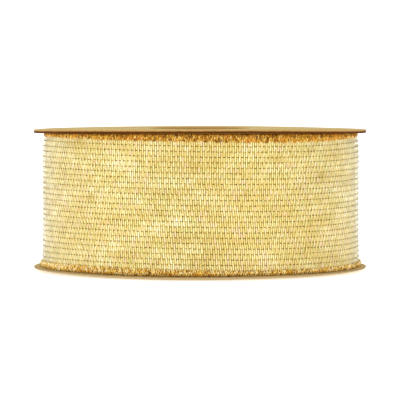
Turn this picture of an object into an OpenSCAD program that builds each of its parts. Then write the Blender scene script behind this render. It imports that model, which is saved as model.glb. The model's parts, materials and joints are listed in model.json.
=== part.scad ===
/* [Card spool] */
// Diameter of the two card flanges
flange_d = 99; // [80:1:140]
// Thickness of the flange card
flange_t = 1; // [0.5:0.1:1.5]
// Diameter of the hole that runs through the flanges and the core
bore_d = 30; // [16:1:34]
// Wall of the spiral-wound core tube
core_wall = 2; // [1.2:0.1:3]
// How far the glue spreads outside the core on the flange
glue_bead = 1.5; // [0.5:0.1:2.5]

/* [Ribbon] */
// Full width of the ribbon, edge to edge
ribbon_w = 40; // [25:1:63]
// Free space between each ribbon edge and its flange
side_slack = 0.2; // [0.15:0.05:0.4]
// How far the flanges reach past the free end of the ribbon
flange_overhang = 1.4; // [1:0.1:6]
// Height of the overlocked edge
selvedge_w = 2; // [1.2:0.1:3]
// Thickness of the overlocked edge, which is the pitch of the winding
selvedge_t = 0.6; // [0.5:0.05:1]
// Thickness of the woven mesh
mesh_t = 0.25; // [0.15:0.05:0.3]
// Diameter of the wire inside each edge
wire_d = 0.3; // [0.2:0.05:0.4]

/* [Free end] */
// Direction of the root of the free end, round from +X
tail_at = 74; // [0:1:359]
// Arc that the free end covers on the winding
tail_arc = 32; // [15:1:45]
// Gap between the free end and the turn below it
tail_gap = 0.3; // [0.2:0.05:0.5]
// Width of the strip of clear tape
tape_w = 12; // [6:1:18]
// Length of the tape that lies on the free end, and the same again past it
tape_reach = 9; // [5:1:12]

/* [Hidden] */
$fn = 128;

// Card and fixings
flange_r = flange_d / 2;
bore_r = bore_d / 2;
core_r = bore_r + core_wall;
glue_t = side_slack;
core_tape_t = 0.15;
core_tape_arc = 40;
tape_t = 0.1;
touch = 0.03;

// Heights
ribbon_low = flange_t + side_slack;
ribbon_high = ribbon_low + ribbon_w;
spool_h = ribbon_high + side_slack + flange_t;
mesh_low = ribbon_low + selvedge_w;
mesh_h = ribbon_w - 2 * selvedge_w;
edge_centre = selvedge_t / 2;

// The last turn is two half circles that step outwards by one growth in all
growth = selvedge_t + tail_gap;
tail_r = flange_r - flange_overhang - selvedge_t / 2;
start_r = tail_r - growth;
half_r = [start_r + growth / 4, start_r + growth * 3 / 4];
root_gap = selvedge_t / 2 + 0.15;
root_gap_deg = root_gap / tail_r * 180 / PI;
winding_inset = selvedge_t / 2 + touch;

card = [0.76, 0.65, 0.46];
tube_card = [0.66, 0.55, 0.40];
glue = [0.93, 0.90, 0.80];
gold_mesh = [0.90, 0.81, 0.52];
gold_thread = [0.74, 0.53, 0.24];
wire = [0.80, 0.66, 0.42];
clear_tape = [0.93, 0.94, 0.92, 0.5];

// A flat ring about the spool's axis
module ring(outer, inner, h) {
    difference() {
        cylinder(r = outer, h = h);
        translate([0, 0, -1]) cylinder(r = inner, h = h + 2);
    }
}

// Turns a profile through part of a circle whose start is the root of the free end
module bend(r, sweep, from = 0, shift = 0) {
    rotate([0, 0, tail_at + from])
        translate([shift, 0, 0])
            rotate_extrude(angle = sweep) translate([r, 0]) children();
}

// The full last turn of a profile
module last_turn() {
    bend(half_r[0], 180, 0, -growth / 4) children();
    bend(half_r[1], 180 - root_gap_deg, 180, -growth / 4) children();
}

// The solid body of all the inner turns, ending inside the last turn
module winding(low, h, outer_inset, inner) {
    difference() {
        union() {
            for (n = [0, 1])
                bend(0, 180, 180 * n, -growth / 4)
                    translate([bore_r, low]) square([half_r[n] - outer_inset - bore_r, h]);
        }
        translate([0, 0, low - 1]) cylinder(r = inner, h = h + 2);
    }
}

// Section of an overlocked edge: square where it meets the mesh, round at the rim, bored for its wire
module edge_section() {
    difference() {
        union() {
            circle(r = selvedge_t / 2);
            translate([-selvedge_t / 2, 0]) square([selvedge_t, selvedge_w - edge_centre]);
        }
        circle(r = wire_d / 2 + touch / 2, $fn = 32);
    }
}

// Lower and upper placing of an edge section or a wire section
module at_lower_edge() {
    translate([0, ribbon_low + edge_centre]) children();
}
module at_upper_edge() {
    translate([0, ribbon_high - edge_centre]) mirror([0, 1]) children();
}
module wire_section() {
    circle(r = wire_d / 2, $fn = 32);
}
// The mesh runs flush with the inner face of its edges
module mesh_section() {
    translate([-selvedge_t / 2, mesh_low]) square([mesh_t, mesh_h]);
}

module flange() {
    color(card) ring(flange_r, bore_r, flange_t);
}
module bottom_flange() {
    flange();
}
module top_flange() {
    translate([0, 0, spool_h - flange_t]) flange();
}

module core_tube() {
    color(tube_card) translate([0, 0, ribbon_low]) ring(core_r, bore_r, ribbon_w);
}

module glue_ring() {
    color(glue) ring(core_r + glue_bead, bore_r, glue_t);
}
module bottom_glue_ring() {
    translate([0, 0, flange_t]) glue_ring();
}
module top_glue_ring() {
    translate([0, 0, ribbon_high]) glue_ring();
}

// Double-sided tape under the first turn
module core_tape() {
    color(clear_tape)
        bend(core_r, core_tape_arc)
            translate([touch, mesh_low + 1]) square([core_tape_t, mesh_h - 2]);
}

// The inner turns of the mesh
module wound_mesh() {
    color(gold_mesh)
        winding(mesh_low, mesh_h, winding_inset, core_r + core_tape_t + 2 * touch);
}

// An edge of the inner turns, with a channel for the wound wire on the side of the mesh
module wound_selvedge() {
    color(gold_thread)
        difference() {
            winding(0, selvedge_w, winding_inset, core_r + core_tape_t + 2 * touch);
            winding(-1, wire_d + 1, winding_inset + selvedge_t, core_r + 1);
        }
}
module wound_upper_selvedge() {
    translate([0, 0, mesh_low + mesh_h]) wound_selvedge();
}
module wound_lower_selvedge() {
    translate([0, 0, mesh_low]) mirror([0, 0, 1]) wound_selvedge();
}

// The wound wire of the inner turns, as the flat coil that its turns make
module wound_wire() {
    color(wire) winding(touch, wire_d - 2 * touch, winding_inset + selvedge_t + touch, core_r + 1 + touch);
}
module wound_upper_wire() {
    translate([0, 0, mesh_low + mesh_h]) wound_wire();
}
module wound_lower_wire() {
    translate([0, 0, mesh_low]) mirror([0, 0, 1]) wound_wire();
}

module outer_turn_mesh() {
    color(gold_mesh) last_turn() mesh_section();
}
module outer_turn_upper_selvedge() {
    color(gold_thread) last_turn() at_upper_edge() edge_section();
}
module outer_turn_lower_selvedge() {
    color(gold_thread) last_turn() at_lower_edge() edge_section();
}
module outer_turn_upper_wire() {
    color(wire) last_turn() at_upper_edge() wire_section();
}
module outer_turn_lower_wire() {
    color(wire) last_turn() at_lower_edge() wire_section();
}

module tail_mesh() {
    color(gold_mesh) bend(tail_r, tail_arc) mesh_section();
}
module tail_upper_selvedge() {
    color(gold_thread) bend(tail_r, tail_arc) at_upper_edge() edge_section();
}
module tail_lower_selvedge() {
    color(gold_thread) bend(tail_r, tail_arc) at_lower_edge() edge_section();
}
module tail_upper_wire() {
    color(wire) bend(tail_r, tail_arc) at_upper_edge() wire_section();
}
module tail_lower_wire() {
    color(wire) bend(tail_r, tail_arc) at_lower_edge() wire_section();
}

// Clear tape over the end of the ribbon
module tail_tape() {
    tape_r = tail_r - selvedge_t / 2 + mesh_t + touch;
    reach_deg = tape_reach / tape_r * 180 / PI;
    color(clear_tape)
        bend(tape_r, 2 * reach_deg, tail_arc - reach_deg)
            translate([0, spool_h / 2 - tape_w / 2]) square([tape_t, tape_w]);
}

bottom_flange();
top_flange();
core_tube();
bottom_glue_ring();
top_glue_ring();
core_tape();
wound_mesh();
wound_upper_selvedge();
wound_lower_selvedge();
wound_upper_wire();
wound_lower_wire();
outer_turn_mesh();
outer_turn_upper_selvedge();
outer_turn_lower_selvedge();
outer_turn_upper_wire();
outer_turn_lower_wire();
tail_mesh();
tail_upper_selvedge();
tail_lower_selvedge();
tail_upper_wire();
tail_lower_wire();
tail_tape();
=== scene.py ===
import json
import math

import bpy
import numpy as np
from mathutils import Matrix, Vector


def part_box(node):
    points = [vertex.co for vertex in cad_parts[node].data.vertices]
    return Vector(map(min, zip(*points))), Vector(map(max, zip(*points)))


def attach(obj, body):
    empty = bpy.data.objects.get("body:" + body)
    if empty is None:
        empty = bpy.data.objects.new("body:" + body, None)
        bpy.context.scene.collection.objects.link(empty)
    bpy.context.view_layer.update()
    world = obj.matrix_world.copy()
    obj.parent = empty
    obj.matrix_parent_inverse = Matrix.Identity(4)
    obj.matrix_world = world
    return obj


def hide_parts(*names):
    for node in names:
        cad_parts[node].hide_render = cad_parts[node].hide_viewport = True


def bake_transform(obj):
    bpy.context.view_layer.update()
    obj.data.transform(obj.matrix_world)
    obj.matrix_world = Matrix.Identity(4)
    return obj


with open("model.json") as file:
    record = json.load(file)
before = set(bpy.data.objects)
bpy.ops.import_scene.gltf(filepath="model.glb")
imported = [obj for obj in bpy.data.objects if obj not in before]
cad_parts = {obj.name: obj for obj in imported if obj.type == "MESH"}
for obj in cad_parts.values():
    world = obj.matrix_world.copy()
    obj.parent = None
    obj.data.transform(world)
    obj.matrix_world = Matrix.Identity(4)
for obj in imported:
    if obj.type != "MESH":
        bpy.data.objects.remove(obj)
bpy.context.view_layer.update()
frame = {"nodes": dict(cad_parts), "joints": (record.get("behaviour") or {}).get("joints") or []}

MM = 0.001

# ---- Core tube -----------------------------------------------------------------------------------
# A paper tube wound on the slant from strips of grey-brown board and glued ply over ply.
# Its seam shows in the bore as a low step that climbs round the wall, and its ends are cut square.
core_low, core_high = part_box("core_tube")
core_r = core_high.x
bore_r = 15 * MM
seam_lead = 34 * MM
seam_step = 0.16 * MM


def mesh_of(name, points, wrap_along=False, wrap_round=True, attributes=None, crease=40):
    """Skins rows of points, given as (strips, along, round, xyz), with four-sided faces."""
    points = np.asarray(points, float)
    strips, along, around = points.shape[:3]
    index = np.arange(strips * along * around).reshape(strips, along, around)
    if wrap_along:
        index = np.concatenate([index, index[:, :1]], axis=1)
    if wrap_round:
        index = np.concatenate([index, index[:, :, :1]], axis=2)
    corners = (index[:, :-1, :-1], index[:, 1:, :-1], index[:, 1:, 1:], index[:, :-1, 1:])
    loops = np.stack(corners, axis=-1).reshape(-1)
    mesh = bpy.data.meshes.new(name)
    mesh.vertices.add(points.size // 3)
    mesh.vertices.foreach_set("co", points.astype(np.float32).ravel())
    mesh.loops.add(len(loops))
    mesh.loops.foreach_set("vertex_index", loops.astype(np.int32))
    mesh.polygons.add(len(loops) // 4)
    mesh.polygons.foreach_set("loop_start", np.arange(0, len(loops), 4, dtype=np.int32))
    mesh.update(calc_edges=True)
    mesh.polygons.foreach_set("use_smooth", np.ones(len(loops) // 4, bool))
    mesh.set_sharp_from_angle(angle=math.radians(crease))
    for key, values in (attributes or {}).items():
        layer = mesh.attributes.new(key, "FLOAT", "POINT")
        every = np.broadcast_to(values, points.shape[:3])
        layer.data.foreach_set("value", every.astype(np.float32).ravel())
    made = bpy.data.objects.new(name, mesh)
    bpy.context.scene.collection.objects.link(made)
    return made


def swatch(red, green, blue):
    """A colour mixed on a 0 to 255 card, as the shader's own light values."""
    parts = (c / 255 for c in (red, green, blue))
    return tuple(c / 12.92 if c <= 0.04045 else ((c + 0.055) / 1.055) ** 2.4 for c in parts)


class Tone:
    """A shader socket that can be written into sums, or the empty start of a material."""

    def __init__(self, tree, socket=None):
        self.tree = tree
        self.socket = socket

    def add(self, kind, settings=None, inputs=None, out=0):
        node = self.tree.nodes.new("ShaderNode" + kind)
        for key, value in (settings or {}).items():
            if key == "stops":
                marks = node.color_ramp.elements
                marks.remove(marks[1])
                for at, colour in value[1:]:
                    marks.new(at).color = (*colour, 1)
                marks[0].position = value[0][0]
                marks[0].color = (*value[0][1], 1)
            else:
                setattr(node, key, value)
        for key, value in (inputs or {}).items():
            if isinstance(value, Tone):
                self.tree.links.new(value.socket, node.inputs[key])
            elif isinstance(value, tuple) and len(node.inputs[key].default_value) == 4:
                node.inputs[key].default_value = (*value, 1)
            else:
                node.inputs[key].default_value = value
        return Tone(self.tree, node.outputs[out])

    def sum_of(self, operation, first, second=0.0):
        return self.add("Math", {"operation": operation}, {0: first, 1: second})

    def __add__(self, other):
        return self.sum_of("ADD", self, other)

    def __sub__(self, other):
        return self.sum_of("SUBTRACT", self, other)

    def __rsub__(self, other):
        return self.sum_of("SUBTRACT", other, self)

    def __mul__(self, other):
        return self.sum_of("MULTIPLY", self, other)

    def __truediv__(self, other):
        return self.sum_of("DIVIDE", self, other)

    def __pow__(self, other):
        return self.sum_of("POWER", self, other)

    __radd__ = __add__
    __rmul__ = __mul__

    def wave(self):
        return self.sum_of("SINE", self) * 0.5 + 0.5

    def part(self):
        return self.sum_of("FRACT", self)

    def whole(self):
        return self.sum_of("FLOOR", self)

    def size(self):
        return self.sum_of("ABSOLUTE", self)

    def over(self, low, high):
        """0 up to low, 1 past high, and smooth between them."""
        bounds = {"Value": self, "From Min": low, "From Max": high}
        return self.add("MapRange", {"interpolation_type": "SMOOTHSTEP"}, bounds)

    def mix(self, first, second):
        """first where this mask is 0, second where it is 1."""
        return self.add("Mix", {"data_type": "RGBA"}, {0: self, 6: first, 7: second}, 2)

    def place(self):
        """The point on the piece, and its x, y and z, in metres."""
        at = self.add("TexCoord", out="Object")
        split = at.add("SeparateXYZ", inputs={"Vector": at}).socket.node
        return at, *(Tone(self.tree, split.outputs[k]) for k in range(3))

    def grain(self, at, scale, detail=2.0, rough=0.5):
        inputs = {"Vector": at, "Scale": scale, "Detail": detail, "Roughness": rough}
        return self.add("TexNoise", None, inputs)

    def stretched(self, at, x, y, z):
        return self.add("VectorMath", {"operation": "MULTIPLY"}, {0: at, 1: (x, y, z)})

    def bump(self, height, distance):
        return self.add("Bump", None, {"Height": height, "Distance": distance, "Strength": 1.0})


def finish_of(name, paint):
    """A material: paint(start) gives the values and links of the Principled shader's sockets."""
    material = bpy.data.materials.new(name)
    material.use_nodes = True
    shader = material.node_tree.nodes["Principled BSDF"]
    for key, value in paint(Tone(material.node_tree)).items():
        if isinstance(value, Tone):
            material.node_tree.links.new(value.socket, shader.inputs[key])
        elif isinstance(value, tuple):
            shader.inputs[key].default_value = (*value, 1)
        else:
            shader.inputs[key].default_value = value
    return material


def tube_paper(start):
    at, x, y, z = start.place()
    turn = start.sum_of("ARCTAN2", y, x) / math.tau + z / seam_lead
    fibre = start.grain(start.stretched(at, 1, 1, 0.35), 1400, 6, 0.65)
    cloud = start.grain(at, 120, 3)
    fleck = start.grain(at, 2600, 1).over(0.66, 0.74)
    paper = cloud.mix(swatch(208, 186, 130), swatch(222, 200, 144))
    paper = (fibre * 0.5).mix(paper, swatch(228, 208, 160))
    paper = (fleck * 0.6).mix(paper, swatch(120, 94, 56))
    seam = (turn.part() - 0.5).size().over(0.485, 0.5)
    return {
        "Base Color": (seam * 0.6).mix(paper, swatch(112, 88, 58)),
        "Roughness": 0.78 + fibre * 0.16,
        "Normal": start.bump(fibre * 0.7 + seam * -1.0, 0.05 * MM),
    }


core_sides = 160
core_levels = 72
core_angles = np.linspace(0, math.tau, core_sides, endpoint=False)[:, None]
core_rise = np.linspace(core_low.z, core_high.z, core_levels)
seam_share = (core_angles / math.tau + core_rise / seam_lead) % 1.0
inner_wall = bore_r + seam_step * seam_share
outer_rise = core_rise[::-12]
core_radius = np.concatenate([inner_wall, np.full((core_sides, len(outer_rise)), core_r)], axis=1)
core_height = np.broadcast_to(np.concatenate([core_rise, outer_rise]), core_radius.shape).copy()
core_points = np.stack(
    [core_radius * np.cos(core_angles), core_radius * np.sin(core_angles), core_height], axis=-1)
paper_core = mesh_of("paper_core", core_points[None], wrap_along=True)
paper_core.data.materials.append(finish_of("spiral tube paper", tube_paper))
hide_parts("core_tube")
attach(paper_core, "spool")

# ---- Card flanges --------------------------------------------------------------------------------
# Two discs die-cut from kraft board, with a punched bore, glued to the ends of the tube.
# The board has bowed a little: its rim rises and falls, and the cut edge is pressed round. Beside the
# ribbon the cut edge is dark with painted shade.
flange_low, flange_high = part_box("top_flange")
floor_card_low, floor_card_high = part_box("bottom_flange")
flange_r = flange_high.x
edge_front = 0.65 * MM
tip_drop = 0.35 * MM
back_drop = 0.65 * MM
curl_front = 0.15 * MM
curl_side = 0.4 * MM


def reach(radius):
    """How far out on the card a point is: 0 over the tube and 1 at the rim, growing as the bow does."""
    return np.clip((radius - core_r) / (flange_r - core_r), 0, 1) ** 2


def top_bow(radius, angle):
    """How far the top card stands above flat. Its front rim is lifted, its sides and back hang."""
    front = np.clip(-np.sin(angle), 0, 1)
    back = np.clip(np.sin(angle), 0, 1)
    rim = -tip_drop + (edge_front + tip_drop) * front ** 1.6 - (back_drop - tip_drop) * back ** 0.5
    return reach(radius) * rim


def bottom_bow(radius, angle):
    """How far the bottom card stands above flat. Its sides curl up a little more than its front."""
    side = np.abs(np.cos(angle))
    return reach(radius) * (curl_front + (curl_side - curl_front) * side ** 2)


rim_band = (0.30 * MM, 0.05 * MM)
bore_band = (0.10 * MM, 0.35 * MM)
ply_t = 0.24 * MM


def kraft(shaded_depth, cut_tone, gloss):
    """Kraft board whose cut edge has painted shade, dark brown, for the given depth from the face beside
    the ribbon.
    """

    def paint(start):
        at, x, y, z = start.place()
        depth = start.add("Attribute", {"attribute_name": "depth"}, out="Fac")
        radius = (x * x + y * y) ** 0.5
        fibre = start.grain(start.stretched(at, 1, 0.3, 1), 1500, 6, 0.7)
        cloud = start.grain(at, 60, 4)
        fleck = start.grain(at, 1900, 1).over(0.67, 0.73)
        pale_fleck = start.grain(start.stretched(at, 1.0, 0.5, 1.0), 1300, 1).over(0.70, 0.76)
        board = cloud.over(0.35, 0.65).mix(swatch(178, 151, 90), swatch(192, 166, 104))
        board = (fibre * 0.5).mix(board, swatch(202, 179, 120))
        board = (fleck * 0.75).mix(board, swatch(120, 86, 44))
        board = (pale_fleck * 0.6).mix(board, swatch(232, 216, 178))
        rim = radius.over(flange_r - rim_band[0], flange_r - rim_band[1])
        bore = 1 - radius.over(bore_r + bore_band[0], bore_r + bore_band[1])
        plies = (depth * (math.tau / ply_t)).wave()
        cut = (0.35 + plies * 0.35).mix(cut_tone, swatch(158, 122, 72))
        fine = start.grain(at, 900, 4)
        uneven = depth + (fine - 0.5) * (0.25 * MM)
        # painted shade: dark brown on the cut edge next to the face beside the ribbon, where the gap
        # between card and ribbon lies in shadow
        painted_shade = rim - rim * uneven.over(shaded_depth - 0.2 * MM, shaded_depth + 0.25 * MM)
        cut = painted_shade.mix(cut, swatch(84, 42, 0))
        return {
            "Base Color": (rim + bore).mix(board, cut),
            "Roughness": 0.72 + fibre * 0.2,
            "Specular IOR Level": gloss,
            "Normal": start.bump(fibre * 0.6 + (rim + bore) * plies * 0.5, 0.05 * MM),
        }

    return paint


press_width = 5 * MM
rim_width = 1.2 * MM
card_rings = 26
card_sides = 288
ripple_depth = 0.03 * MM
ripples = 5


def card_disc(name, low, high, bow, inner_face, upper_corner, lower_corner, pressed):
    """A bowed card: a section of top face, rim, underside and bore, turned about the axis. The die has
    pressed the outermost part of the underside up, so the card thins towards its rim."""
    corner = 0.22 * (high - low)
    flat = np.linspace(bore_r + corner, flange_r - rim_width, card_rings)
    under = low + pressed * np.clip((flat - (flange_r - press_width)) / press_width, 0, 1) ** 2
    low = low + pressed
    turn_in = np.linspace(0, math.pi / 2, 6)
    rim_r = np.concatenate([flange_r - upper_corner * (1 - np.sin(turn_in)),
                            flange_r - lower_corner * (1 - np.cos(turn_in))])
    rim_z = np.concatenate([high - upper_corner * (1 - np.cos(turn_in)),
                            low + lower_corner * (1 - np.sin(turn_in))])
    hole_r = np.array([bore_r, bore_r])
    hole_z = np.array([under[0] + corner * 0.4, high - corner * 0.4])
    radius = np.concatenate([flat, rim_r, flat[::-1], hole_r])
    height = np.concatenate([np.full(card_rings, high), rim_z, under[::-1], hole_z])
    angle = np.linspace(0, math.tau, card_sides, endpoint=False)[:, None]
    ripple = ripple_depth * np.sin(ripples * angle + 1.3) * reach(radius)
    lift = height + bow(radius, angle) + ripple
    wide = np.broadcast_to(radius, lift.shape)
    return mesh_of(name, np.stack([wide * np.cos(angle), wide * np.sin(angle), lift], axis=-1)[None],
                   wrap_along=True, crease=70, attributes={"depth": np.abs(height - inner_face)})


bottom_card = card_disc("bottom_card_flange", floor_card_low.z, floor_card_high.z, bottom_bow,
                        floor_card_high.z, 0.12 * MM, 0.15 * MM, 0.5 * MM)
# painted shade on the cut edge reaches 0.05 mm down from the top face of the bottom card
bottom_kraft = kraft(0.05 * MM, swatch(196, 182, 140), 0.25)
bottom_card.data.materials.append(finish_of("kraft board, bottom", bottom_kraft))
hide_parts("bottom_flange")
top_card = card_disc("top_card_flange", flange_low.z, flange_high.z, top_bow,
                     flange_low.z, 0.15 * MM, 0.15 * MM, 0)
# painted shade on the cut edge reaches 0.64 mm up from the underside of the top card
top_kraft = kraft(0.64 * MM, swatch(212, 170, 98), 0.08)
top_card.data.materials.append(finish_of("kraft board, top", top_kraft))
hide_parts("top_flange")
for card in (bottom_card, top_card):
    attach(card, "spool")

# ---- Glue --------------------------------------------------------------------------------------
# A ring of white glue holds each flange to an end of the tube.
# It has squeezed out past the tube in a thin uneven bead and dried.
glue_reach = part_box("bottom_glue_ring")[1].x
glue_sides = 120
glue_inset = 0.35 * MM
glue_wander = 0.3 * MM
glue_start = 0.2 * MM
glue_round = 0.2 * MM
draw = np.random.default_rng(11)


def dried_glue(start):
    at, x, y, z = start.place()
    cloud = start.grain(at, 500, 3)
    return {
        "Base Color": cloud.mix(swatch(226, 216, 188), swatch(244, 238, 220)),
        "Roughness": 0.28 + cloud * 0.25,
        "Normal": start.bump(cloud, 0.05 * MM),
    }


def glue_bead(name, low, high):
    """A flat ring whose outer edge wanders."""
    angle = np.linspace(0, math.tau, glue_sides, endpoint=False)
    wander = sum(np.sin(k * angle + draw.uniform(0, math.tau)) / k for k in range(2, 9)) / 3
    outer = glue_reach - glue_inset + glue_wander * wander
    middle = (low + high) / 2
    inner = np.full(glue_sides, bore_r + glue_start)
    radius = np.stack([inner, outer - glue_round, outer, outer - glue_round, inner], axis=1)
    height = np.broadcast_to([high, high, middle, low, low], radius.shape)
    spin = angle[:, None]
    return mesh_of(name, np.stack([radius * np.cos(spin), radius * np.sin(spin), height], axis=-1)[None],
                   wrap_along=True)


glue_finish = finish_of("dried glue", dried_glue)
for end in ("bottom", "top"):
    node = end + "_glue_ring"
    bead = glue_bead(end + "_glue_bead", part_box(node)[0].z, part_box(node)[1].z)
    bead.data.materials.append(glue_finish)
    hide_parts(node)
    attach(bead, "spool")

# ---- Tape under the first turn ---------------------------------------------------------------------
# A patch of clear double-sided film on the tube, which holds the inner end of the ribbon.


def clear_film(start):
    at, x, y, z = start.place()
    crinkle = start.grain(at, 700, 3)
    return {
        "Base Color": swatch(250, 242, 210),
        "Roughness": 0.06 + crinkle * 0.1,
        "Alpha": 0.04 + crinkle * 0.1,
        "Normal": start.bump(crinkle, 0.03 * MM),
    }


film = finish_of("clear film", clear_film)
core_tape = frame["nodes"]["core_tape"]
core_tape.material_slots[0].material = film

# ---- Inner turns of the ribbon ---------------------------------------------------------------------
# Ten metres of gold mesh ribbon, wound turn on turn from the tube outwards, with a thick overlocked edge
# and a wire along each side. The mesh is thinner than its edges, so its turns sink in between them.
root = Vector(frame["joints"][0]["pos_m"])
tail_at = math.degrees(math.atan2(root.y, root.x))
tail_r = math.hypot(root.x, root.y)
lower_edge_trim = 0.265 * MM
upper_edge_trim = 0.66 * MM
edge_low, edge_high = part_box("outer_turn_lower_selvedge")
top_edge_low, top_edge_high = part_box("outer_turn_upper_selvedge")
lower_edge_h = edge_high.z - edge_low.z - lower_edge_trim
upper_edge_h = top_edge_high.z - top_edge_low.z - upper_edge_trim
mesh_low = edge_low.z + lower_edge_h
mesh_high = top_edge_high.z - upper_edge_h
mesh_h = mesh_high - mesh_low
side_slack = edge_low.z - floor_card_high.z
edge_t = 0.6 * MM
edge_wire_r = 0.15 * MM
mesh_out = -0.175 * MM
growth = 0.9 * MM
start_r = tail_r - growth
half_r = (start_r + growth / 4, start_r + growth * 3 / 4)
first_r = core_r + 0.5 * MM
inner_turns = (start_r - first_r) / edge_t
mesh_sink = 0.2 * MM
side_lift = 0.51 * MM
side_tilt = 0.37 * MM
side_tuck = 1.1 * MM
edge_fold = 0.4 * MM
tuck_share = 0.62
upper_gap_share = 0.6
lower_gap_share = 0.4
back_squeeze = 0.3 * MM


def on_ribbon(turn, out):
    """x, y and the angle on the spool of points out from the ribbon's middle line. turn is in degrees from
    the start of the last turn: below 0 on the inner turns, and past 360 on the free end."""
    angle = np.radians(tail_at + turn)
    towards_root = np.radians(tail_at)
    shift = np.where(turn < 0, 0, np.where(turn < 180, -growth / 4, np.where(turn < 360, growth / 4, 0)))
    radius = np.where(turn < 0, start_r + edge_t * turn / 360,
                      np.where(turn < 180, half_r[0], np.where(turn < 360, half_r[1], tail_r))) + out
    x = shift * math.cos(towards_root) + radius * np.cos(angle)
    y = shift * math.sin(towards_root) + radius * np.sin(angle)
    return x, y, angle


def mesh_lift(angle, height):
    """The turns are wound a little unevenly: the mesh rides up at the sides, more so towards the top, and
    wanders up and down twice in a turn."""
    share = np.clip((height - mesh_low) / mesh_h, 0, 1)
    sides = side_lift * np.abs(np.cos(angle)) ** 3 * share
    return sides + side_tilt * np.sin(2 * angle) - back_squeeze * np.clip(np.sin(angle), 0, 1) * share


def settled(x, y):
    """How much of the slack of the winding has gathered at a turn: 0 on the tube and 1 on the last turn."""
    return np.clip((np.hypot(x, y) - first_r) / (start_r - first_r), 0, 1)


def edge_tuck(angle):
    """How far the upper edge is drawn in under the top flange at the sides."""
    return side_tuck * np.abs(np.cos(angle)) ** 1.5


def mesh_dip(angle, height):
    """How far the mesh sinks in between its two thick edges."""
    across = np.clip(2 * (height - mesh_low) / mesh_h - 1, -1, 1)
    sink = mesh_sink * (1 - np.abs(across) ** 6)
    return np.maximum(sink, tuck_share * edge_tuck(angle) * np.clip(across, 0, 1) ** 4)


def on_mesh(turn, out, height):
    """Points of the mesh, from the heights that they would have on a flat ribbon."""
    x, y, angle = on_ribbon(turn, 0)
    inward = mesh_dip(angle, height) * settled(x, y)
    x, y, angle = on_ribbon(turn, mesh_out + out - inward)
    return np.stack(np.broadcast_arrays(x, y, height + mesh_lift(angle, height)), axis=-1)


def on_edge(turn, out, share, upper):
    """Points of an overlocked edge. share runs from 0 at the mesh to 1 at the rim beside the flange."""
    x, y, angle = on_ribbon(turn, 0)
    x, y, angle = on_ribbon(turn, out - edge_tuck(angle) * settled(x, y) * upper)
    radius = np.hypot(x, y)
    if upper:
        start = mesh_high + mesh_lift(angle, mesh_high) - edge_fold * np.abs(np.cos(angle))
        end = flange_low.z + top_bow(radius, angle) - side_slack * upper_gap_share
    else:
        start = mesh_low + mesh_lift(angle, mesh_low)
        end = floor_card_high.z + bottom_bow(radius, angle) + side_slack * lower_gap_share
    return np.stack(np.broadcast_arrays(x, y, start + (end - start) * share), axis=-1)


row_count = 24
row_pitch = mesh_h / row_count
strip_pitch = 0.664 * MM


def wound_weave(start):
    at, x, y, z = start.place()
    around = start.sum_of("ARCTAN2", y, x) * (tail_r / strip_pitch)
    strip = (around * math.tau).wave()
    row = ((z - mesh_low) / row_pitch * math.tau + math.pi / 2).wave() ** 6
    cloud = start.grain(at, 160, 3)
    spark = start.grain(start.stretched(at, 1, 1, 0.4), 2600, 2)
    gold = cloud.mix(swatch(176, 140, 50), swatch(206, 172, 84))
    # painted glints: pale flecks on the strips
    gold = spark.over(0.5, 0.72).mix(gold, swatch(232, 208, 128))
    # painted shade: the gaps between strips are darkened to stand for the shadowed turns beneath
    gap_shade = 1 - strip.over(0.1, 0.55)
    gold = (gap_shade * 0.2).mix(gold, swatch(140, 104, 40))
    return {
        # the dark rows are partly the long threads' own colour and partly painted shade in the dips where
        # the strips pass under them
        "Base Color": (row * 0.3).mix(gold, swatch(130, 98, 40)),
        "Metallic": 0.45,
        "Roughness": 0.32 + cloud * 0.2,
        "Normal": start.bump(strip - row, 0.1 * MM),
    }


steps_a_turn = 120
mesh_overlap = 0.5 * MM
inner_levels = 13
inner_turn = np.linspace(-360 * inner_turns, 0, int(inner_turns * steps_a_turn))[:, None]
inner_rise = np.linspace(mesh_low - mesh_overlap, mesh_high + mesh_overlap, inner_levels)
inner_mesh = mesh_of("wound_turns_mesh", on_mesh(inner_turn, 0, inner_rise)[None], wrap_round=False)
inner_mesh.data.materials.append(finish_of("mesh in the winding", wound_weave))
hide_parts("wound_mesh")
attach(inner_mesh, "spool")


flake_run = 0.7 * MM


def glitter(depth, coppery):
    """Metallic thread: copper, gold and brown flakes that change every few tenths of a millimetre, the
    palest of them painted glints. depth darkens the mix towards the brown flakes as painted shade, and
    coppery is the share of copper laid over it in patches."""

    def paint(start):
        at, x, y, z = start.place()
        along = start.add("Attribute", {"attribute_name": "along"}, out="Fac")
        thread = start.add("Attribute", {"attribute_name": "thread"}, out="Fac")
        cell = start.add("CombineXYZ", None, {0: (along / flake_run).whole(), 1: thread})
        fleck = start.add("TexWhiteNoise", None, {"Vector": cell})
        patch = start.grain(at, 230, 3)
        fine = start.grain(at, 3800, 2)
        ramp = {"stops": [(0.0, swatch(84, 48, 0)), (0.2, swatch(160, 108, 14)),
                          (0.45, swatch(224, 170, 48)), (0.7, swatch(253, 216, 98)),
                          (0.9, swatch(255, 248, 198))]}
        # depth is painted shade: it pushes the pick down, darker
        pick = fleck * 0.95 + (patch - 0.5) * 0.3 + (fine - 0.5) * 0.7 + (0.08 - depth)
        gold = start.add("ValToRGB", ramp, {"Fac": pick})
        copper = patch.over(0.5, 0.6)
        return {
            "Base Color": ((copper + 0.4) * coppery).mix(gold, swatch(224, 144, 48)),
            "Metallic": 0.85,
            "Roughness": 0.2 + fine * 0.25,
            "Normal": start.bump(fine, 0.04 * MM),
        }

    return paint


def edge_core(start):
    at, x, y, z = start.place()
    fine = start.grain(at, 2400, 3)
    return {
        "Base Color": fine.over(0.35, 0.65).mix(swatch(84, 50, 4), swatch(176, 126, 40)),
        "Metallic": 0.5,
        "Roughness": 0.35 + fine * 0.2,
        "Normal": start.bump(fine, 0.1 * MM),
    }


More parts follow.
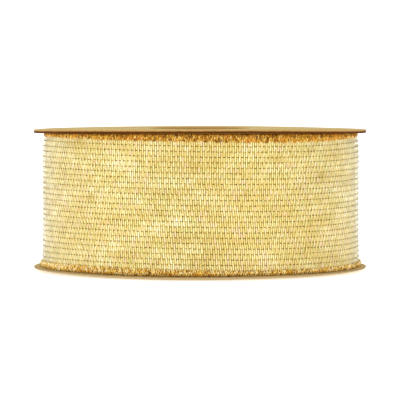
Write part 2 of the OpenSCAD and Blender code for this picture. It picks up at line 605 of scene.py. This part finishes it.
def drawn_wire(start):
    at, x, y, z = start.place()
    line = start.grain(start.stretched(at, 1, 1, 0.1), 4000, 2)
    return {
        "Base Color": line.mix(swatch(196, 158, 96), swatch(236, 208, 150)),
        "Metallic": 1.0,
        "Roughness": 0.18 + line * 0.15,
    }


# the upper thread is painted darker, as shade under the rim of the top card
thread_finish = {"upper": finish_of("upper glitter thread", glitter(0.20, 0.35)),
                 "lower": finish_of("lower glitter thread", glitter(-0.03, 0.1))}
roll_finish = finish_of("edge filling", edge_core)
wire_finish = finish_of("drawn wire", drawn_wire)
wire_share = 0.85
wire_sides = 6
roll_share = 0.47
wound_half_t = edge_t * 0.46


def edge_roll(name, turn, upper, half_t, sides=8):
    """The filled body of an edge, as a rounded strip along the ribbon."""
    around = np.linspace(0, math.tau, sides, endpoint=False)
    out = half_t * np.sign(np.cos(around)) * np.abs(np.cos(around)) ** 0.7
    share = 0.5 + roll_share * np.sign(np.sin(around)) * np.abs(np.sin(around)) ** 0.6
    return mesh_of(name, on_edge(turn[:, None], out, share, upper)[None], crease=80)


def edge_wire(name, turn, upper):
    """A wire along the rim side of an edge."""
    around = np.linspace(0, math.tau, wire_sides, endpoint=False)
    line = on_edge(turn[:, None], edge_wire_r * np.cos(around), np.full(wire_sides, wire_share), upper)
    line[..., 2] += edge_wire_r * np.sin(around)
    return mesh_of(name, line[None], crease=80)


inner_parts = []
for end, upper in (("upper", True), ("lower", False)):
    roll = edge_roll(f"wound_{end}_edge", inner_turn[:, 0], upper, wound_half_t)
    roll.data.materials.append(roll_finish)
    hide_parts(f"wound_{end}_selvedge")
    wire = edge_wire(f"wound_{end}_edge_wire", inner_turn[::2, 0], upper)
    wire.data.materials.append(wire_finish)
    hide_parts(f"wound_{end}_wire")
    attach(roll, "spool")
    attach(wire, "spool")
    inner_parts += [roll, wire]

# ---- Last turn of the ribbon -----------------------------------------------------------------------
# The mesh is a plain weave of flat metallised strips that run across the ribbon, and fine dark threads
# that run along it, each over one strip and under the next. Towards the lower edge the strips lean over.
last_turn = 360
tail_arc = 32
strip_half = 0.255 * MM
strip_t = 0.05 * MM
strip_weave = 0.05 * MM
strip_sway = 0.06 * MM
pinch_in = 0.12
lean_from = 4
lean_ease = 8
lean_step = 0.13 * MM
straight_run = 20
thread_r = 0.095 * MM
thread_weave = 0.09 * MM
steps_a_row = 3
knot_every = 10
strip_under_edge = 0.35
strip_jitter = 0.015 * MM
cell_twist = 0.06
thread_drift = 0.025 * MM
thread_loose = 0.03 * MM
draw = np.random.default_rng(23)


def lean(turn, level):
    """How far along the ribbon, in degrees, the strips have shifted at a level. They are square again at
    the free end."""
    below = np.clip(row_count - level - lean_from, 0, None)
    shift = lean_step * np.where(below < lean_ease, below ** 2 / (2 * lean_ease), below - lean_ease / 2)
    return np.degrees(shift / tail_r) * np.clip((360 + tail_arc - turn) / straight_run, 0, 1)


def weave(turn_from, turn_to):
    """The strips of a stretch of mesh: an array of points and their attributes, and how many there are."""
    length = math.radians(turn_to - turn_from) * tail_r
    strips = 2 * int(round(length / strip_pitch / 2))
    levels = np.arange(row_count * steps_a_row + 1) / steps_a_row
    heights = mesh_low + levels * row_pitch
    heights[0] -= strip_under_edge * row_pitch
    heights[-1] += strip_under_edge * row_pitch
    row_of = np.minimum(levels.astype(int), row_count - 1)
    pinch = np.cos(math.pi * levels) ** 4
    number = np.arange(strips)[:, None]
    middle = (number + 0.5) / strips * (turn_to - turn_from) + turn_from
    knots = draw.normal(0, strip_sway, (strips // knot_every + 2, row_count + 1))
    knots = np.stack([np.interp(levels, np.arange(row_count + 1), k) for k in knots])
    first = number[:, 0] // knot_every
    part = number / knot_every - first[:, None]
    wobble = draw.normal(0, strip_jitter, (strips, len(levels)))
    sway = knots[first] * (1 - part) + knots[first + 1] * part + wobble
    middle = middle + np.degrees(sway / tail_r) + lean(middle, levels)
    half = strip_half * (1 - pinch_in * pinch) * draw.uniform(0.93, 1.07, (strips, row_count))[:, row_of]
    cell_tilt = draw.normal(0, cell_twist, (strips, row_count))[:, row_of] * (1 - pinch)
    over_under = strip_weave * np.where(number % 2 == 0, 1, -1) * np.cos(math.pi * levels)
    side = np.array([-1, 0, 1])
    face = np.array([-0.3, 1, -0.3])
    turn = middle[..., None] + np.degrees(side * half[..., None] / tail_r)
    out = (over_under + wobble * 0.5)[..., None] + side * (half * np.sin(cell_tilt))[..., None]
    points = on_mesh(turn, out + face * strip_t / 2, heights[None, :, None])
    marks = {
        "strand": np.broadcast_to(number[..., None], points.shape[:3]),
        "row": np.broadcast_to(levels[None, :, None], points.shape[:3]),
    }
    return points, marks, strips


def long_threads(turn_from, turn_to, strips, fray=0.0):
    """The threads along the ribbon. fray is how far they may stick out of a cut end, in degrees."""
    along = np.linspace(0, 1, strips * 2 + 1)
    strip_of = np.arange(strips * 2 + 1) // 2
    rows = np.arange(1, row_count)[:, None]
    reach_out = turn_to + fray * draw.uniform(-0.2, 1, rows.shape)
    turn = turn_from + (reach_out - turn_from) * along
    turn = turn + lean(turn, rows)
    height = mesh_low + rows * row_pitch + draw.normal(0, thread_drift, turn.shape)
    loose = draw.normal(0, thread_loose, (row_count - 1, strips + 1))[:, strip_of]
    side_of = np.where(rows % 2 == 0, 1, -1)
    over_under = -thread_weave * side_of * np.cos(math.pi * (along * strips - 0.5))
    out = over_under + loose
    around = np.linspace(0, math.tau, 4, endpoint=False)
    side = thread_r * np.cos(around)
    rise = thread_r * np.sin(around)
    points = on_mesh(turn[..., None], out[..., None] + side, height[..., None] + rise)
    marks = {
        "along": np.broadcast_to((along * strips)[None, :, None], points.shape[:3]),
        "thread": np.broadcast_to(rows[..., None], points.shape[:3]),
    }
    return points, marks


def gold_strip(start):
    """Metallised film strip: champagne gold, each cell between two threads with its own painted glint.
    Strips that tilt up towards the light above are painted a little brighter, and painted shade darkens
    them beside the threads.
    """
    at, x, y, z = start.place()
    strand = start.add("Attribute", {"attribute_name": "strand"}, out="Fac")
    row = start.add("Attribute", {"attribute_name": "row"}, out="Fac")
    cell = start.add("CombineXYZ", None, {0: (strand + 0.5).whole(), 1: row.whole()})
    chance = start.add("TexWhiteNoise", None, {"Vector": cell})
    hue = start.add("TexWhiteNoise", {"noise_dimensions": "4D"}, {"Vector": cell, "W": 3.7})
    drift = start.grain(start.stretched(at, 1, 1, 2.5), 90, 5, 0.6)
    patch = start.grain(start.stretched(at, 1, 1, 1.6), 28, 2)
    fine = start.grain(start.stretched(at, 1, 1, 0.3), 3000, 2)
    row_shade = ((row.part() - 0.5).size() * 2) ** 6
    speck = start.grain(at, 2600, 2)
    # the pale top of the ramp is painted glint
    ramp = {"stops": [(0.0, swatch(180, 146, 54)), (0.35, swatch(216, 189, 98)),
                      (0.6, swatch(237, 217, 138)), (0.84, swatch(252, 246, 200)),
                      (1.0, swatch(255, 255, 244))]}
    # painted light: in each cell the strands that tilt up towards the lamp above are made a touch brighter
    tilt_light = ((strand + row.whole() + 0.25) * 0.5).part().over(0.45, 0.55)
    pick = chance * 0.18 + drift * 0.89 + (fine - 0.5) * 0.5 + (speck - 0.5) * 1.0 + tilt_light * 0.04 - 0.04
    gold = start.add("ValToRGB", ramp, {"Fac": pick})
    gold = (patch.over(0.45, 0.65) * 0.3).mix(gold, swatch(222, 190, 88))
    gold = (hue.over(0.84, 0.9) * 0.4).mix(gold, swatch(244, 208, 176))
    gold = ((1 - hue).over(0.86, 0.92) * 0.4).mix(gold, swatch(204, 208, 116))
    # painted shade beside each long thread, where the strips pinch and dip under it
    gold = (row_shade * 0.08).mix(gold, swatch(170, 138, 58))
    return {
        "Base Color": gold,
        "Metallic": 0.35,
        "Roughness": 0.26 + fine * 0.2,
        "Normal": start.bump(fine, 0.03 * MM),
        "Coat Weight": 0.5,
        "Coat Roughness": 0.3,
        "Sheen Weight": 1.0,
        "Sheen Roughness": 0.3,
        "Sheen Tint": swatch(240, 255, 248),
    }


def dark_thread(start):
    """Fine olive-brown thread with a little metallic wrap in it."""
    at, x, y, z = start.place()
    thread = start.add("Attribute", {"attribute_name": "thread"}, out="Fac")
    along = start.add("Attribute", {"attribute_name": "along"}, out="Fac")
    cell = start.add("CombineXYZ", None, {0: along.whole(), 1: thread})
    chance = start.add("TexWhiteNoise", None, {"Vector": cell})
    stretch = start.grain(start.stretched(at, 1, 1, 3), 220, 2)
    ramp = {"stops": [(0.0, swatch(78, 60, 2)), (0.45, swatch(124, 100, 10)), (0.65, swatch(186, 154, 50)),
                      (1.0, swatch(230, 198, 96))]}
    return {
        "Base Color": start.add("ValToRGB", ramp, {"Fac": chance * 0.6 + stretch * 0.6 - 0.1}),
        "Metallic": 0.4,
        "Roughness": 0.55,
        "Specular IOR Level": 0.15,
    }


strip_finish = finish_of("gold strip", gold_strip)
dark_finish = finish_of("dark thread", dark_thread)
lash_pitch = 1.5 * MM
lash_r = 0.14 * MM
lash_count = 3
lash_sides = 5
steps_a_wrap = 12
lash_share = 0.46
lash_rough = 0.045 * MM
lash_slack = 0.02 * MM
lash_over = 0.05 * MM
lash_dip = 0.16
lash_ragged = 0.04
filling_half_t = edge_t * 0.42
filling_sides = 12
sway_span = 25
sway_gain = 0.02
sway_most = 0.3


def lashing(turn_from, turn_to, upper):
    """Overlock threads: sets of helices in both hands, wrapped round the edge, as one array of points."""
    length = math.radians(turn_to - turn_from) * tail_r
    wraps = length / lash_pitch
    steps = int(wraps * steps_a_wrap)
    along = np.linspace(0, 1, steps + 1)
    bundles = []
    offsets = []
    for hand in (1, -1):
        for k in range(lash_count):
            loose = draw.uniform(0, 1, 2)
            phase = hand * along * wraps * math.tau + math.tau * (k + 0.4 * loose[0]) / lash_count
            slack = np.sin(along * wraps * 1.7 + 9 * loose[1])
            grow = lash_slack * slack + draw.normal(0, lash_rough, steps + 1)
            outermost = lash_over if hand > 0 else 0
            out = (wound_half_t + grow + outermost) * np.cos(phase)
            beat = 0.5 + 0.5 * np.sin(along * wraps * math.pi + k)
            dip_in = lash_dip * np.clip(-np.sin(phase), 0, 1) * beat
            share = 0.5 + lash_share * np.sin(phase) - dip_in + draw.normal(0, lash_ragged, steps + 1)
            sway = np.cumsum(draw.normal(0, 1, steps + 1))
            sway = (sway - np.convolve(sway, np.ones(sway_span) / sway_span, "same")) * sway_gain
            sway = np.clip(sway, -sway_most, sway_most) * np.sin(math.pi * along)
            turn = turn_from + (turn_to - turn_from) * along + sway
            bundles.append(on_edge(turn, out, share, upper))
            offsets.append((hand + 2) * 10 + k)
    line = np.stack(bundles)
    ahead = np.gradient(line, axis=1)
    ahead /= np.linalg.norm(ahead, axis=-1, keepdims=True)
    up = np.broadcast_to([0.0, 0.0, 1.0], ahead.shape)
    side = np.cross(ahead, up)
    side /= np.maximum(np.linalg.norm(side, axis=-1, keepdims=True), 1e-9)
    over = np.cross(side, ahead)
    around = np.linspace(0, math.tau, lash_sides, endpoint=False)[:, None]
    ring = side[:, :, None] * np.cos(around) + over[:, :, None] * np.sin(around)
    points = line[:, :, None] + lash_r * ring
    run = np.linalg.norm(np.diff(line, axis=1, prepend=line[:, :1]), axis=-1).cumsum(axis=1)
    marks = {
        "along": np.broadcast_to(run[..., None], points.shape[:3]),
        "thread": np.broadcast_to(np.array(offsets)[:, None, None], points.shape[:3]),
    }
    return points, marks


def overlocked_edge(prefix, turn_from, turn_to, end, hold):
    """The filling, wire and lashing of one edge of a stretch of ribbon. hold is called on each piece."""
    upper = end == "upper"
    turn = np.linspace(turn_from, turn_to, int((turn_to - turn_from) * 2) + 2)
    points, marks = lashing(turn_from, turn_to, upper)
    lash = mesh_of(f"{prefix}_{end}_edge_threads", points, attributes=marks, crease=80)
    lash.data.materials.append(thread_finish[end])
    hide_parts(f"{prefix}_{end}_selvedge")
    roll = edge_roll(f"{prefix}_{end}_edge_filling", turn, upper, filling_half_t, filling_sides)
    roll.data.materials.append(roll_finish)
    wire = edge_wire(f"{prefix}_{end}_edge_wire", turn, upper)
    wire.data.materials.append(wire_finish)
    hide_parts(f"{prefix}_{end}_wire")
    for piece in (lash, roll, wire):
        hold(piece)
    return [lash, roll, wire]


def woven_mesh(prefix, turn_from, turn_to, hold, fray=0.0):
    """The strips and long threads of a stretch of ribbon."""
    points, marks, strips = weave(turn_from, turn_to)
    across = mesh_of(f"{prefix}_strips", points, attributes=marks, crease=100)
    across.data.materials.append(strip_finish)
    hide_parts(f"{prefix}_mesh")
    points, marks = long_threads(turn_from, turn_to, strips, fray)
    threads = mesh_of(f"{prefix}_long_threads", points, attributes=marks, crease=100)
    threads.data.materials.append(dark_finish)
    for piece in (across, threads):
        hold(piece)
    return across, threads


def on_spool(piece):
    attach(piece, "spool")


outer_strips, outer_threads = woven_mesh("outer_turn", 0, last_turn, on_spool)
outer_edges = [p for end in ("upper", "lower")
               for p in overlocked_edge("outer_turn", 0, last_turn, end, on_spool)]

# ---- Free end of the ribbon ------------------------------------------------------------------------
# The last stretch of the same ribbon, cut straight across with its threads and wires a little proud.
# It lies on the winding, and its pieces are not fixed to any body.
tail_fray = 0.9


def lifts(piece):
    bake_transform(piece)


tail_strips, tail_threads = woven_mesh("tail", 360, 360 + tail_arc, lifts, tail_fray)
tail_edges = [p for end in ("upper", "lower")
              for p in overlocked_edge("tail", 360, 360 + tail_arc, end, lifts)]

# ---- Tape over the free end ------------------------------------------------------------------------
# A short strip of clear film, half on the free end and half on the turn below, that keeps it shut.
# It drapes over the cut end and goes with the free end when that is lifted.
tape_low, tape_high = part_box("tail_tape")
tape_reach_deg = 10.8
tape_t = 0.06 * MM
tape_stand = 0.16 * MM
tape_ruck = 0.02 * MM
drop_deg = 2.2
tape_steps = 64
tape_levels = 12
tail_tip = 360 + tail_arc
tape_turn = np.linspace(tail_tip - tape_reach_deg, tail_tip + tape_reach_deg, tape_steps)[:, None]
past_end = np.clip((tape_turn - tail_tip) / drop_deg, 0, 1)
step_down = growth * past_end ** 2 * (3 - 2 * past_end)
tape_rise = np.linspace(tape_low.z, tape_high.z, tape_levels)
tape_out = tape_stand - step_down + tape_ruck * np.sin(tape_turn * 0.9 + tape_rise / MM)
tape_top = on_mesh(tape_turn, tape_out + tape_t, tape_rise)
tape_under = on_mesh(tape_turn, tape_out, tape_rise)
tape_points = np.concatenate([tape_top, tape_under[:, ::-1]], axis=1)
tape = mesh_of("tail_film", tape_points[None], crease=60)
tape.data.materials.append(film)
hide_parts("tail_tape")
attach(tape, "free_end")

# ---- Studio ----------------------------------------------------------------------------------------
# A white table in a white room, large soft lamps at the left, the right, behind and above, and the camera.
view_distance = 1.0
view_height = 67 * MM
aim = Vector((0, 0, 20.9 * MM))
frame_width = 2 * flange_r * 1.205
sensor_w = 36
table_r = 6

table = bpy.data.meshes.new("table")
corners = [(-table_r, -table_r, 0), (table_r, -table_r, 0), (table_r, table_r, 0), (-table_r, table_r, 0)]
table.from_pydata(corners, [], [(0, 1, 2, 3)])
floor = bpy.data.objects.new("table", table)
bpy.context.scene.collection.objects.link(floor)


def white_table(start):
    return {
        "Base Color": (0.92, 0.92, 0.92),
        "Roughness": 0.9,
        "Emission Color": (1.0, 1.0, 1.0),
        "Emission Strength": 0.55,
    }


table.materials.append(finish_of("white table", white_table))

world = bpy.data.worlds.new("white room")
world.use_nodes = True
bpy.context.scene.world = world
sky = world.node_tree.nodes["Background"]
sky.inputs["Color"].default_value = (1, 1, 1, 1)
seen = world.node_tree.nodes.new("ShaderNodeLightPath")
glow = world.node_tree.nodes.new("ShaderNodeMapRange")
glow.inputs["To Min"].default_value = 0.92
glow.inputs["To Max"].default_value = 1.05
world.node_tree.links.new(seen.outputs["Is Camera Ray"], glow.inputs["Value"])
world.node_tree.links.new(glow.outputs[0], sky.inputs["Strength"])


def lamp(name, place, size, power):
    """A square soft lamp that faces the spool."""
    light = bpy.data.lights.new(name, "AREA")
    light.size = size
    light.energy = power
    holder = bpy.data.objects.new(name, light)
    holder.location = place
    holder.rotation_euler = (aim - Vector(place)).to_track_quat("-Z", "Y").to_euler()
    bpy.context.scene.collection.objects.link(holder)


lamp("left box", (-1.2, -0.6, 0.6), 0.9, 3.6)
lamp("right box", (0.9, -1.1, 0.5), 0.8, 2.6)
lamp("back box", (-0.9, 0.8, 0.5), 0.9, 1.2)
lamp("top box", (0, 0.1, 1.4), 0.9, 3)

camera = bpy.data.objects.new("camera", bpy.data.cameras.new("camera"))
camera.location = (0, -view_distance, view_height)
camera.rotation_euler = (aim - camera.location).to_track_quat("-Z", "Y").to_euler()
camera.data.sensor_width = sensor_w
camera.data.lens = sensor_w * view_distance / frame_width
bpy.context.scene.collection.objects.link(camera)
bpy.context.scene.camera = camera
bpy.context.scene.view_settings.view_transform = "Standard"
